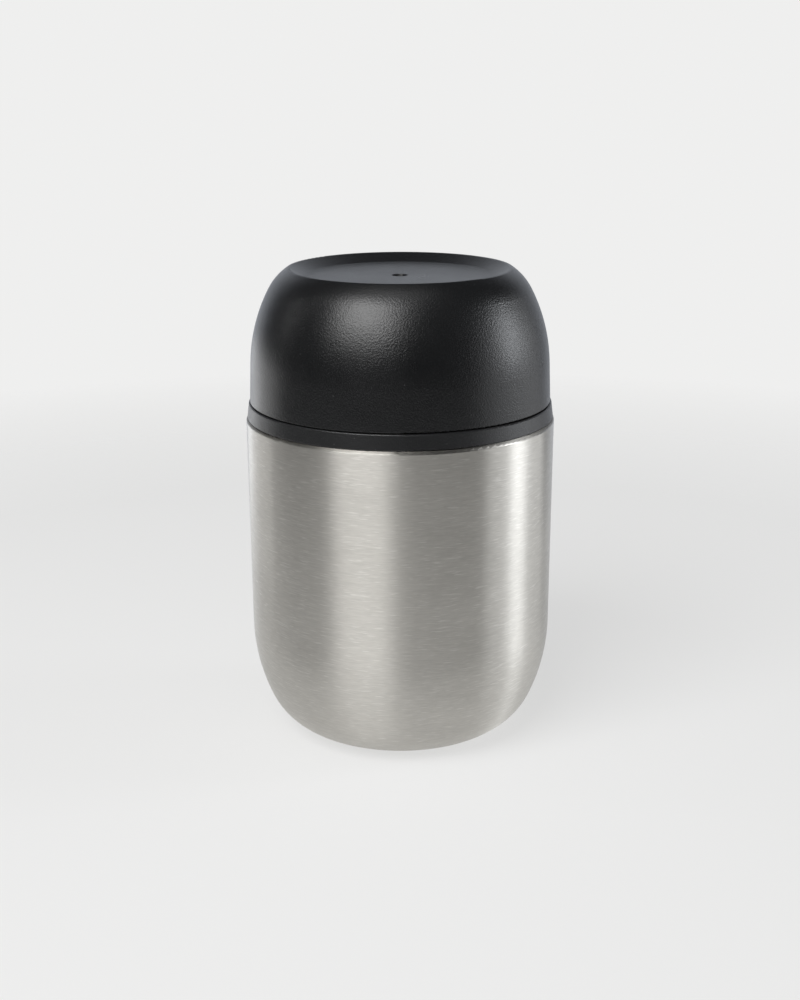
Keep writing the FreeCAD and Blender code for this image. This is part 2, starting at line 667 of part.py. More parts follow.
def stopper_cover():
    """Grip head with scalloped edge, a spigot that snaps into the plug and the well for the button."""
    spigot = f"({PLUG_INSIDE} - spigot_clearance)"
    plate = f"({HEAD_TOP} - head_plate)"
    body = turned_body("stopper_cover", [
        (WELL, GUIDE_BOTTOM),
        (f"{WELL} + guide_wall", GUIDE_BOTTOM),
        (f"{WELL} + guide_wall", plate),
        (f"{spigot} - spigot_wall", plate),
        (f"{spigot} - spigot_wall", f"{STOPPER_RIM} - spigot_depth"),
        (spigot, f"{STOPPER_RIM} - spigot_depth"),
        (spigot, STOPPER_RIM),
        (HEAD_RADIUS, STOPPER_RIM),
        (HEAD_RADIUS, f"{HEAD_TOP} - head_round", "head_round", 1),
        (f"{HEAD_RADIUS} - head_round", HEAD_TOP),
        (WELL, HEAD_TOP),
    ])
    flute = body.newObject("PartDesign::Pocket", "flute")
    scallop = circle(body, "flute_outline", "flute_radius", f"{HEAD_RADIUS} + flute_radius - flute_depth")
    scallop.setExpression("AttachmentOffset.Base.z", bound(STOPPER_RIM))
    flute.Profile = scallop
    flute.Reversed = True
    flute.setExpression("Length", bound("head_height"))
    flutes = body.newObject("PartDesign::PolarPattern", "flutes")
    flutes.Originals = [flute]
    flutes.Axis = (plane(body, "Z_Axis"), [""])
    flutes.Angle = 360
    flutes.setExpression("Occurrences", bound("flute_count"))
    body.Tip = flutes


def vent_button():
    """Push button in the middle of the stopper, hollow under its roof for the spring."""
    socket = "(stem_radius + stem_fit)"
    sleeve = f"({socket} + spring_wire_radius * 2)"
    bottom = f"({BUTTON_TOP} - button_height)"
    turned_body("vent_button", [
        (socket, f"{BUTTON_ROOF} - button_wall"),
        (sleeve, f"{BUTTON_ROOF} - button_wall"),
        (sleeve, BUTTON_ROOF),
        ("button_radius - button_wall", BUTTON_ROOF),
        ("button_radius - button_wall", bottom),
        ("button_radius", bottom),
        ("button_radius", f"{BUTTON_TOP} - button_round", "button_round", 1),
        ("button_radius - button_round", BUTTON_TOP),
        ("0", BUTTON_TOP),
        ("0", BUTTON_ROOF),
        (socket, BUTTON_ROOF),
    ])


def vent_stem():
    """Stem that hangs from the button through the plug, with a foot under the vent seal."""
    foot = f"({VENT_SEAL_RADIUS} - stem_foot_step)"
    top = f"({BUTTON_ROOF} - spring_seat_gap)"
    turned_body("vent_stem", [
        ("0", f"{VENT_SEAL_BOTTOM} - stem_foot_height"),
        (foot, f"{VENT_SEAL_BOTTOM} - stem_foot_height"),
        (foot, VENT_SEAL_BOTTOM),
        ("stem_radius", VENT_SEAL_BOTTOM),
        ("stem_radius", top),
        ("0", top),
    ])


def vent_seal():
    """Silicone washer on the stem that closes the vent from below."""
    turned_body("vent_seal", ring_corners(
        "stem_radius + stem_fit", VENT_SEAL_RADIUS, VENT_SEAL_BOTTOM, VENT_SEAL_TOP))


def vent_spring():
    """Coil between the boss and the button's roof; its wire clears both seats by a hair."""
    body = new_body("vent_spring")
    bottom = f"({BOSS_TOP} + spring_seat_gap + spring_wire_radius)"
    top = f"({BUTTON_ROOF} - spring_seat_gap - spring_wire_radius)"
    section = circle(body, "wire_outline", "spring_wire_radius", f"{STEM_BORE} + spring_inset", "XZ_Plane")
    section.setExpression("AttachmentOffset.Base.y", bound(bottom))
    coil = body.newObject("PartDesign::AdditiveHelix", "coil")
    coil.Profile = section
    coil.ReferenceAxis = (plane(body, "Z_Axis"), [""])
    coil.Mode = "height-turns-angle"
    coil.setExpression("Height", bound(f"{top} - {bottom}"))
    coil.setExpression("Turns", bound("spring_turns"))
    body.Tip = coil


doc = FreeCAD.newDocument("food_jar")
sheet = doc.addObject("Spreadsheet::Sheet", "Sizes")
for row, (name, number) in enumerate(SIZES.items(), start=1):
    sheet.set(f"A{row}", name)
    sheet.set(f"B{row}", str(number))
    sheet.setAlias(f"B{row}", name)
doc.recompute()

for make in (outer_shell, outer_base, vacuum_seal, base_cover, getter_holder, getter, inner_liner,
             liner_base, heat_shield, neck_collar, collar_seal, bowl_lid, lid_seal, stopper_body,
             stopper_insulation, stopper_seal, stopper_cover, vent_button, vent_stem, vent_seal, vent_spring):
    make()
doc.recompute()

for item in doc.Objects:
    if "Invalid" in item.State or "Error" in item.State:
        raise RuntimeError(f"{item.Label} could not be made: {item.State}")
bodies = [item for item in doc.Objects if item.TypeId == "PartDesign::Body"]
for body in bodies:
    if body.Shape.isNull() or not body.Shape.isValid() or len(body.Shape.Solids) != 1:
        raise RuntimeError(f"{body.Label} is not one sound solid")

os.makedirs("parts", exist_ok=True)
for body in bodies:
    body.Shape.exportStep(f"parts/{body.Label}.step")
print(len(bodies), "parts written")
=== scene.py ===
import json
import math
import bpy
from mathutils import Matrix, Vector


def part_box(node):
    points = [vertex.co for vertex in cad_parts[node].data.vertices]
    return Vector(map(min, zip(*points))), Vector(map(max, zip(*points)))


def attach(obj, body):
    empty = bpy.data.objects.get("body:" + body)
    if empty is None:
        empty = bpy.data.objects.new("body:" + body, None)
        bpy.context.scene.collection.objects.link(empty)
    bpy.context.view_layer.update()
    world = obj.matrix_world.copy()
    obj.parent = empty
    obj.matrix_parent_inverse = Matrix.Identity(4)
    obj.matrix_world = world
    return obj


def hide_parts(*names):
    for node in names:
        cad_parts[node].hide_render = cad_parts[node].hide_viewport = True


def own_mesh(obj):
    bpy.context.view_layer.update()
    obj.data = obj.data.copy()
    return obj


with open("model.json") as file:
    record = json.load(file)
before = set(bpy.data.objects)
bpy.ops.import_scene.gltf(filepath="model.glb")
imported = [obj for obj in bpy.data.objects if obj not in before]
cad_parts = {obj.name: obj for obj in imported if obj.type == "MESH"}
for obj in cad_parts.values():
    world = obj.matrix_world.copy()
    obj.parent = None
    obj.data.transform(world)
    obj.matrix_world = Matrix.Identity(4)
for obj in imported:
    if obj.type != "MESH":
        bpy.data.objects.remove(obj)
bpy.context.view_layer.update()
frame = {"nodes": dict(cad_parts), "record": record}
nodes = frame["nodes"]

# The photograph's camera, worked out from the jar's outline
CAMERA_PLACE = Vector((-0.00015, -0.5217, 0.2288))
CAMERA_PITCH = math.radians(16.23)
CAMERA_ROLL = math.radians(-0.18)
CAMERA_LENS = 59.03

# Brushing: lines to the metre across it, and how often a line breaks off on its way round
BRUSH_LINES = 3200
BRUSH_REACH = 14.0
STREAK_LINES = 1300
STREAK_REACH = 8.0
FLECK_LINES = 2900.0
FLECK_REACH = 11.0
FLECK_STARTS = 0.60
FLECK_FULL = 0.72
CLOUD_LINES = 60.0
CLOUD_REACH = 1.4
DRAWING_LINES = 1400
DRAWING_REACH = 2.0
NOISE_LOW = 0.3
NOISE_HIGH = 0.7

# Brushed steel, and its rolled edge at the top of the shell's side, which is rougher and has painted shade
# darkening its colour
STEEL_DARK = (0.51, 0.495, 0.462, 1)
STEEL_LIGHT = (0.59, 0.573, 0.536, 1)
STEEL_SMOOTHEST = 0.36
STEEL_ROUGHEST = 0.40
STEEL_SHEEN = 0.95
STEEL_BRUSH_DEPTH = 0.00002
FLECK_COLOUR = (0.80, 0.785, 0.75, 1)
FLECK_SHARE = 0.42
SHELL_EDGE = 0.1062
EDGE_STARTS_BELOW = 0.0009
EDGE_FULL_BELOW = 0.0004
# Painted shade: the rolled edge under the band is mixed towards this dark colour
EDGE_SHADE_COLOUR = (0.30, 0.28, 0.25, 1)
EDGE_SHADE_SHARE = 0.35
EDGE_ROUGHNESS = 0.25

# Smooth metals
SATIN_SHEEN = 0.6
SATIN_VARIATION = 0.05
SATIN_RING_DEPTH = 0.00001
UPRIGHT_SHEEN = 0.25

# Moulded plastic, rubber and foam: grains and specks of dust to the metre, and how much of the dust shows
GRAINS = 1900
SPECKS = 800
SPECK_CORE = 0.06
SPECK_EDGE = 0.12
DUST_COLOUR = (0.10, 0.10, 0.10, 1)
LITTLE_DUST = 0.03
HANDLED_DUST = 0.14
CLOUDS = 45.0
GRAIN_DEPTH = 0.00009
RUBBER_DEPTH = 0.00001
FOAM_DEPTH = 0.0002
MOULDED_VARIATION = 0.03

# Turned pieces
ROUNDING_SEGMENTS = 4
JOIN_DISTANCE = 0.000002
FLAT = 0.99
SMOOTH_ANGLE = math.radians(40)
RING_STEPS = 96

# The stopper's grip head, as the CAD has it
HEAD_RADIUS = 0.03998
HEAD_HEIGHT = 0.0050
WELL_RADIUS = 0.00925
GUIDE_RADIUS = 0.01062
PLATE_DEPTH = 0.0022
SPIGOT_INSIDE = 0.03516
SPIGOT_RADIUS = 0.03648
SPIGOT_BOTTOM = 0.1290

# What is added to the head here: a rolled top edge, a dish, and scallops counted in steps of the turned mesh
ROLL_REACH = 0.0020
ROLL_CORNER = 0.0006
DISH_OUTSIDE = 0.0325
DISH_FLOOR_OUTSIDE = 0.0315
DISH_FLOOR_INSIDE = 0.0128
DISH_INSIDE = 0.0118
DISH_DEPTH = 0.0006
HEAD_ROUNDING = 0.00025
FLUTES = 16
FLUTE_STEPS = 16
FLUTE_REACH = 6
FLUTE_DEPTH = 0.0016
FLUTE_GAP = 0.0009

# Foam in the stopper
FOAM_BORE = 0.0063
FOAM_ROUNDING = 0.0011
FOAM_STEPS = 72
GROOVE_MARGIN = 0.009
GROOVE_DEPTH = 0.0012

# The spring under the button
WIRE_RADIUS = 0.00035
WIRE_SIDES = 12
SPRING_TURNS = 4.5
STEPS_PER_TURN = 28

# The studio
PALE = (0.863, 0.863, 0.858, 1)
FLOOR_RADIUS = 0.60
FLOOR_SIDES = 96
FLOOR_DROP = 0.00005
FLOOR_FADE_STARTS = 0.30
FLOOR_FADE_ENDS = 0.58
FLOOR_EVEN_SHARE = 0.7
BACKDROP_COLOUR = (0.68, 0.715, 0.78, 1)
BACKDROP_LEFT = 1.2
BACKDROP_RIGHT = 0.88
ROOM_COLOUR = (0.95, 0.97, 1.0, 1)
ROOM_LEVEL = 0.03
AIM = Vector((0, 0, 0.085))

FINISHES = {}


def wired(tree, kind, inputs=(), **settings):
    """A shader node with its settings and with each named input linked or set."""
    made = tree.nodes.new("ShaderNode" + kind)
    for name, setting in settings.items():
        setattr(made, name, setting)
    for socket, source in dict(inputs).items():
        if isinstance(source, bpy.types.NodeSocket):
            tree.links.new(source, made.inputs[socket])
        else:
            made.inputs[socket].default_value = source
    return made


def result_of(tree, operation, first, second=0.0, third=0.0):
    """Output of a Math node."""
    return wired(tree, "Math", {0: first, 1: second, 2: third}, operation=operation).outputs[0]


def spread(tree, value, low, high, to_low, to_high):
    """value, moved from one range to another and kept within it."""
    return wired(tree, "MapRange", {"Value": value, "From Min": low, "From Max": high,
                                    "To Min": to_low, "To Max": to_high}).outputs["Result"]


def mixed_colour(tree, share, low, high):
    """A colour that goes from low to high as share goes from 0 to 1."""
    return wired(tree, "Mix", {0: share, 6: low, 7: high}, data_type="RGBA").outputs[2]


def bumped(tree, height, depth):
    """The normal of a surface on which a height of 1 stands for depth, in metres."""
    return wired(tree, "Bump", {"Height": height, "Distance": depth}).outputs["Normal"]


def new_group(name, inputs, outputs):
    """A shader node group with named number inputs and number outputs."""
    group = bpy.data.node_groups.new(name, "ShaderNodeTree")
    for label, default in inputs.items():
        socket = group.interface.new_socket(label, in_out="INPUT", socket_type="NodeSocketFloat")
        socket.default_value = default
    for label in outputs:
        group.interface.new_socket(label, in_out="OUTPUT", socket_type="NodeSocketFloat")
    entry = group.nodes.new("NodeGroupInput")
    leaving = group.nodes.new("NodeGroupOutput")
    return group, entry.outputs, leaving.inputs


def placed(tree, group, values=()):
    """The outputs of a group placed in a material, with the material's own values for its inputs."""
    made = tree.nodes.new("ShaderNodeGroup")
    made.node_tree = group
    for label, value in dict(values).items():
        made.inputs[label].default_value = value
    return made.outputs


def brushing_group():
    """Lines brushed round the jar: fine ones, wider streaks, short light flecks and long soft clouds."""
    group, given, out = new_group(
        "brushing",
        {"Lines per metre": BRUSH_LINES, "Line reach": BRUSH_REACH, "Streaks per metre": STREAK_LINES},
        ("Fine", "Streaks", "Flecks", "Clouds"))
    place = wired(group, "TexCoord").outputs["Object"]
    parts = wired(group, "SeparateXYZ", {0: place}).outputs
    flat = wired(group, "CombineXYZ", {"X": parts["X"], "Y": parts["Y"]}).outputs[0]
    radius = wired(group, "VectorMath", {0: flat}, operation="LENGTH").outputs["Value"]
    around = wired(group, "VectorMath", {0: flat}, operation="NORMALIZE").outputs[0]
    along = result_of(group, "ADD", parts["Z"], radius)

    def lines(per_metre, reach, detail, roughness):
        """Noise drawn out round the jar's axis, which changes per_metre times along a wall or floor."""
        turned = wired(group, "VectorMath", {0: around, "Scale": reach}, operation="SCALE").outputs[0]
        across = result_of(group, "MULTIPLY", along, per_metre)
        lifted = wired(group, "CombineXYZ", {"Z": across}).outputs[0]
        where = wired(group, "VectorMath", {0: turned, 1: lifted}, operation="ADD").outputs[0]
        return wired(group, "TexNoise", {"Vector": where, "Scale": 1.0, "Detail": detail,
                                         "Roughness": roughness}).outputs["Fac"]

    group.links.new(lines(given["Lines per metre"], given["Line reach"], 2.0, 0.6), out["Fine"])
    group.links.new(lines(given["Streaks per metre"], STREAK_REACH, 2.0, 0.55), out["Streaks"])
    flecks = lines(FLECK_LINES, FLECK_REACH, 1.0, 0.5)
    group.links.new(spread(group, flecks, FLECK_STARTS, FLECK_FULL, 0.0, 1.0), out["Flecks"])
    group.links.new(lines(CLOUD_LINES, CLOUD_REACH, 2.0, 0.5), out["Clouds"])
    return group


def grain_group():
    """The fine texture of a satin moulding, with a few light specks of dust in it."""
    group, given, out = new_group(
        "moulded_grain",
        {"Grains per metre": GRAINS, "Specks per metre": SPECKS, "Speck share": LITTLE_DUST},
        ("Height", "Specks", "Clouds"))
    place = wired(group, "TexCoord").outputs["Object"]
    fine = wired(group, "TexNoise", {"Vector": place, "Scale": given["Grains per metre"], "Detail": 2.0,
                                     "Roughness": 0.6}).outputs["Fac"]
    cells = wired(group, "TexVoronoi", {"Vector": place, "Scale": given["Specks per metre"]}, feature="F1")
    near = spread(group, cells.outputs["Distance"], SPECK_CORE, SPECK_EDGE, 1.0, 0.0)
    lot = wired(group, "SeparateColor", {0: cells.outputs["Color"]}).outputs["Red"]
    chosen = result_of(group, "LESS_THAN", lot, given["Speck share"])
    clouds = wired(group, "TexNoise", {"Vector": place, "Scale": CLOUDS, "Detail": 3.0}).outputs["Fac"]
    group.links.new(fine, out["Height"])
    group.links.new(result_of(group, "MULTIPLY", near, chosen), out["Specks"])
    group.links.new(clouds, out["Clouds"])
    return group


def new_finish(name):
    """Starts a material, kept under its name; returns its node tree and its Principled shader."""
    finish = bpy.data.materials.new(name)
    finish.use_nodes = True
    FINISHES[name] = finish
    return finish.node_tree, finish.node_tree.nodes["Principled BSDF"]


def metal_sheen(tree, shader, strength):
    """Metal whose highlights are drawn out upright, across lines that run round the jar's axis."""
    shader.inputs["Metallic"].default_value = 1.0
    shader.inputs["Anisotropic"].default_value = strength
    shader.inputs["Anisotropic Rotation"].default_value = UPRIGHT_SHEEN
    tangent = wired(tree, "Tangent", direction_type="RADIAL", axis="Z").outputs[0]
    tree.links.new(tangent, shader.inputs["Tangent"])


def brushed_steel(brushing):
    """Stainless steel with fine brushing round the body; at the shell's rolled edge under the band it is
    rougher, and painted shade darkens its colour.
    """
    tree, shader = new_finish("brushed_steel")
    brush = placed(tree, brushing)
    streaks = result_of(tree, "MULTIPLY", brush["Streaks"], 0.4)
    lines = result_of(tree, "MULTIPLY_ADD", brush["Fine"], 0.6, streaks)
    colour = mixed_colour(tree, spread(tree, lines, 0.35, 0.65, 0, 1), STEEL_DARK, STEEL_LIGHT)
    bright = result_of(tree, "MULTIPLY", brush["Flecks"], FLECK_SHARE)
    colour = mixed_colour(tree, bright, colour, FLECK_COLOUR)
    place = wired(tree, "TexCoord").outputs["Object"]
    height = wired(tree, "SeparateXYZ", {0: place}).outputs["Z"]
    edge = spread(tree, height, SHELL_EDGE - EDGE_STARTS_BELOW, SHELL_EDGE - EDGE_FULL_BELOW, 0.0, 1.0)
    # Painted shade: the colour darkens towards the rolled edge under the band, and the same mask raises the
    # roughness there
    painted_edge_shade = result_of(tree, "MULTIPLY", edge, EDGE_SHADE_SHARE)
    tree.links.new(mixed_colour(tree, painted_edge_shade, colour, EDGE_SHADE_COLOUR), shader.inputs["Base Color"])
    rough = spread(tree, brush["Clouds"], NOISE_LOW, NOISE_HIGH, STEEL_SMOOTHEST, STEEL_ROUGHEST)
    tree.links.new(result_of(tree, "MULTIPLY_ADD", edge, EDGE_ROUGHNESS, rough), shader.inputs["Roughness"])
    metal_sheen(tree, shader, STEEL_SHEEN)
    tree.links.new(bumped(tree, brush["Fine"], STEEL_BRUSH_DEPTH), shader.inputs["Normal"])


def satin_metal(brushing, name, dark, light, roughness):
    """Drawn and electropolished steel, or a like smooth metal, with faint drawing rings."""
    tree, shader = new_finish(name)
    brush = placed(tree, brushing, {"Lines per metre": DRAWING_LINES, "Line reach": DRAWING_REACH})
    tree.links.new(mixed_colour(tree, brush["Clouds"], dark, light), shader.inputs["Base Color"])
    rough = spread(tree, brush["Streaks"], NOISE_LOW, NOISE_HIGH,
                   roughness - SATIN_VARIATION, roughness + SATIN_VARIATION)
    tree.links.new(rough, shader.inputs["Roughness"])
    metal_sheen(tree, shader, SATIN_SHEEN)
    tree.links.new(bumped(tree, brush["Fine"], SATIN_RING_DEPTH), shader.inputs["Normal"])


def moulded(texture, name, dark, light, roughness, depth=GRAIN_DEPTH, dust=LITTLE_DUST):
    """Satin moulded plastic, rubber or foam, with a very fine texture and some dust."""
    tree, shader = new_finish(name)
    grain = placed(tree, texture, {"Speck share": dust})
    base = mixed_colour(tree, grain["Clouds"], dark, light)
    tree.links.new(mixed_colour(tree, grain["Specks"], base, DUST_COLOUR), shader.inputs["Base Color"])
    rough = spread(tree, grain["Clouds"], NOISE_LOW, NOISE_HIGH,
                   roughness - MOULDED_VARIATION, roughness + MOULDED_VARIATION)
    tree.links.new(rough, shader.inputs["Roughness"])
    tree.links.new(bumped(tree, grain["Height"], depth), shader.inputs["Normal"])


def make_finishes():
    """A finish for each material slot in the record, and a duller one for the handled collar."""
    brushing = brushing_group()
    grain = grain_group()
    brushed_steel(brushing)
    satin_metal(brushing, "pot_steel", (0.55, 0.545, 0.53, 1), (0.64, 0.635, 0.62, 1), 0.26)
    satin_metal(brushing, "foil", (0.74, 0.74, 0.74, 1), (0.83, 0.83, 0.83, 1), 0.18)
    satin_metal(brushing, "getter_alloy", (0.14, 0.14, 0.15, 1), (0.22, 0.22, 0.22, 1), 0.65)
    satin_metal(brushing, "braze", (0.55, 0.43, 0.25, 1), (0.66, 0.54, 0.34, 1), 0.4)
    satin_metal(brushing, "spring_steel", (0.4, 0.4, 0.41, 1), (0.5, 0.5, 0.5, 1), 0.3)
    moulded(grain, "black_plastic", (0.006, 0.0063, 0.0068, 1), (0.009, 0.0093, 0.01, 1), 0.30)
    moulded(grain, "handled_plastic", (0.010, 0.0103, 0.011, 1), (0.018, 0.0183, 0.019, 1), 0.36,
            dust=HANDLED_DUST)
    moulded(grain, "grey_plastic", (0.045, 0.047, 0.052, 1), (0.06, 0.062, 0.067, 1), 0.45)
    moulded(grain, "button_plastic", (0.14, 0.145, 0.15, 1), (0.18, 0.185, 0.19, 1), 0.42)
    moulded(grain, "silicone", (0.42, 0.43, 0.43, 1), (0.52, 0.53, 0.53, 1), 0.5, depth=RUBBER_DEPTH)
    moulded(grain, "foam", (0.78, 0.78, 0.76, 1), (0.88, 0.88, 0.86, 1), 0.9, depth=FOAM_DEPTH)


def dress_nodes():
    """Each carried-over node gets the finish of its material slot, and the collar the handled one."""
    for part in frame["record"]["subparts"]:
        node = nodes[part["node"]]
        finish = FINISHES["handled_plastic" if part["node"] == "neck_collar" else part["material_slot"]]
        if not node.material_slots:
            node.data.materials.append(finish)
        for slot in node.material_slots:
            slot.material = finish


def edit(piece):
    """Enters edit mode on one piece, with nothing else selected."""
    bpy.ops.object.select_all(action="DESELECT")
    piece.select_set(True)
    bpy.context.view_layer.objects.active = piece
    bpy.ops.object.mode_set(mode="EDIT")
    bpy.ops.mesh.select_mode(type="VERT")
    bpy.ops.mesh.select_all(action="DESELECT")


def pick(piece, kind, wanted):
    """Selects, in edit mode, the faces ("FACE") or points ("VERT") for which wanted(one) is true."""
    bpy.ops.mesh.select_mode(type=kind)
    bpy.ops.mesh.select_all(action="DESELECT")
    bpy.ops.object.mode_set(mode="OBJECT")
    for one in piece.data.polygons if kind == "FACE" else piece.data.vertices:
        one.select = wanted(one)
    bpy.ops.object.mode_set(mode="EDIT")


def turned_section(piece, rounding, steps):
    """Rounds a section's corners and turns it about the jar's axis into a closed ring."""
    edit(piece)
    bpy.ops.mesh.select_all(action="SELECT")
    bpy.ops.mesh.bevel(offset=rounding, segments=ROUNDING_SEGMENTS, affect="VERTICES")
    bpy.ops.mesh.delete(type="ONLY_FACE")
    bpy.ops.mesh.select_all(action="SELECT")
    bpy.ops.mesh.spin(steps=steps, angle=2 * math.pi, center=(0, 0, 0), axis=(0, 0, 1))
    bpy.ops.mesh.select_all(action="SELECT")
    bpy.ops.mesh.remove_doubles(threshold=JOIN_DISTANCE)
    bpy.ops.mesh.normals_make_consistent(inside=False)


def turned_ring(name, inner, outer, bottom, top, rounding, steps):
    """A plain ring, turned from a section with rounded corners."""
    bpy.ops.object.select_all(action="DESELECT")
    middle = ((inner + outer) / 2, 0, (bottom + top) / 2)
    bpy.ops.mesh.primitive_plane_add(size=1, location=middle, rotation=(math.pi / 2, 0, 0))
    ring = bpy.context.object
    ring.name = name
    ring.scale = (outer - inner, top - bottom, 1)
    bpy.ops.object.transform_apply()
    turned_section(ring, rounding, steps)
    return ring


def groove(ring, side, margin, depth):
    """A shallow groove in a ring's top (side 1) or bottom (side -1), which leaves a lip at each edge."""
    pick(ring, "FACE", lambda face: face.normal.z * side > FLAT)
    bpy.ops.mesh.inset(thickness=margin, depth=0)
    bpy.ops.mesh.inset(thickness=depth, depth=-depth)


def stand_in_for(piece, node, body, slot):
    """Ends the edit of a piece, which takes a node's place on its body."""
    bpy.ops.object.mode_set(mode="OBJECT")
    bpy.ops.object.shade_smooth_by_angle(angle=SMOOTH_ANGLE)
    piece.data.materials.append(FINISHES[slot])
    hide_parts(node)
    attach(piece, body)


def silicone_ring(name, node, body, inner, rounding, lip_width, lip_depth):
    """A soft ring in the place of its node, with rounded edges and sealing lips above and below."""
    low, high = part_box(node)
    ring = turned_ring(name, inner, high[0], low[2], high[2], rounding, RING_STEPS)
    groove(ring, 1, lip_width, lip_depth)
    groove(ring, -1, lip_width, lip_depth)
    stand_in_for(ring, node, body, "silicone")


def foam_ring():
    """Cut foam in the hollow of the stopper, with soft edges and a finger groove to lift it out by."""
    low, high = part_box("stopper_insulation")
    ring = turned_ring("cut_foam_ring", FOAM_BORE, high[0], low[2], high[2], FOAM_ROUNDING, FOAM_STEPS)
    groove(ring, 1, GROOVE_MARGIN, GROOVE_DEPTH)
    stand_in_for(ring, "stopper_insulation", "stopper", "foam")


def drawn_section(name, corners):
    """A flat section in the XZ plane, drawn corner by corner from one point of a small plane."""
    bpy.ops.object.select_all(action="DESELECT")
    bpy.ops.mesh.primitive_plane_add(size=0.001, location=(corners[0][0], 0, corners[0][1]))
    piece = bpy.context.object
    piece.name = name
    bpy.ops.object.transform_apply()
    edit(piece)
    bpy.ops.mesh.select_all(action="SELECT")
    bpy.ops.mesh.merge(type="CENTER")
    for before, after in zip(corners, corners[1:]):
        step = (after[0] - before[0], 0, after[1] - before[1])
        bpy.ops.mesh.extrude_region_move(TRANSFORM_OT_translate={"value": step})
    bpy.ops.mesh.select_all(action="SELECT")
    bpy.ops.mesh.edge_face_add()
    bpy.ops.object.mode_set(mode="OBJECT")
    return piece


def steps_from_scallop(place):
    """How many steps of the turned mesh a place is away from the middle of the nearest scallop."""
    turn = math.atan2(place.y, place.x) / (2 * math.pi) * FLUTES
    return round(abs(turn - round(turn)) * FLUTE_STEPS)


def stopper_head():
    """Grip head of the stopper: soft scallops round its edge, a shallow dish and the button's well."""
    low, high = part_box("stopper_cover")
    bottom = low[2]
    top = high[2]
    plate = top - PLATE_DEPTH
    rim = top - HEAD_HEIGHT
    dish = top - DISH_DEPTH
    head = drawn_section("stopper_head", [
        (WELL_RADIUS, bottom), (GUIDE_RADIUS, bottom), (GUIDE_RADIUS, plate), (SPIGOT_INSIDE, plate),
        (SPIGOT_INSIDE, SPIGOT_BOTTOM), (SPIGOT_RADIUS, SPIGOT_BOTTOM), (SPIGOT_RADIUS, rim),
        (HEAD_RADIUS, rim), (HEAD_RADIUS, top - ROLL_REACH), (HEAD_RADIUS - ROLL_CORNER, top - ROLL_CORNER),
        (HEAD_RADIUS - ROLL_REACH, top), (DISH_OUTSIDE, top), (DISH_FLOOR_OUTSIDE, dish),
        (DISH_FLOOR_INSIDE, dish), (DISH_INSIDE, top), (WELL_RADIUS, top)])
    turned_section(head, HEAD_ROUNDING, FLUTES * FLUTE_STEPS)
    grip = SPIGOT_RADIUS + FLUTE_GAP
    for step in range(FLUTE_REACH):
        depth = FLUTE_DEPTH * math.cos(math.pi / 2 * step / FLUTE_REACH) ** 2
        pick(head, "VERT", lambda point: steps_from_scallop(point.co) == step and point.co.xy.length > grip)
        share = 1 - depth / HEAD_RADIUS
        bpy.ops.transform.resize(value=(share, share, 1), center_override=(0, 0, 0))
    stand_in_for(head, "stopper_cover", "stopper", "grey_plastic")


def button_spring():
    """Wire coil under the button, modelled at rest."""
    low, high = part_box("vent_spring")
    coil = high[0] - WIRE_RADIUS
    bpy.ops.object.select_all(action="DESELECT")
    bpy.ops.mesh.primitive_circle_add(vertices=WIRE_SIDES, radius=WIRE_RADIUS,
                                      location=(coil, 0, low[2] + WIRE_RADIUS), rotation=(math.pi / 2, 0, 0))
    spring = bpy.context.object
    spring.name = "button_spring"
    bpy.ops.object.transform_apply()
    turns = spring.modifiers.new("turns", "SCREW")
    turns.angle = 2 * math.pi * SPRING_TURNS
    turns.screw_offset = high[2] - low[2] - 2 * WIRE_RADIUS
    turns.steps = round(STEPS_PER_TURN * SPRING_TURNS)
    turns.render_steps = turns.steps
    turns.use_smooth_shade = True
    bpy.ops.object.modifier_apply(modifier="turns")
    edit(spring)
    bpy.ops.mesh.select_all(action="SELECT")
    bpy.ops.mesh.fill_holes(sides=0)
    bpy.ops.mesh.select_all(action="SELECT")
    bpy.ops.mesh.normals_make_consistent(inside=False)
    stand_in_for(spring, "vent_spring", "stopper", "spring_steel")
    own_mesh(spring)


def softbox(name, azimuth, elevation, distance, width, height, brightness, colour=(1, 1, 1)):
    """An area lamp that looks at the jar; azimuth 0 is at the camera's side and 90 on the right."""
    turn = math.radians(azimuth)
    rise = math.radians(elevation)
    towards = Vector((math.sin(turn) * math.cos(rise), -math.cos(turn) * math.cos(rise), math.sin(rise)))
    light = bpy.data.lights.new(name, "AREA")
    light.shape = "RECTANGLE"
    light.size = width
    light.size_y = height
    light.energy = brightness * math.pi * width * height
    light.color = colour
    lamp = bpy.data.objects.new(name, light)
    bpy.context.scene.collection.objects.link(lamp)
    lamp.location = AIM + towards * distance
    lamp.rotation_euler = towards.to_track_quat("Z", "Y").to_euler()
    lamp.visible_camera = False


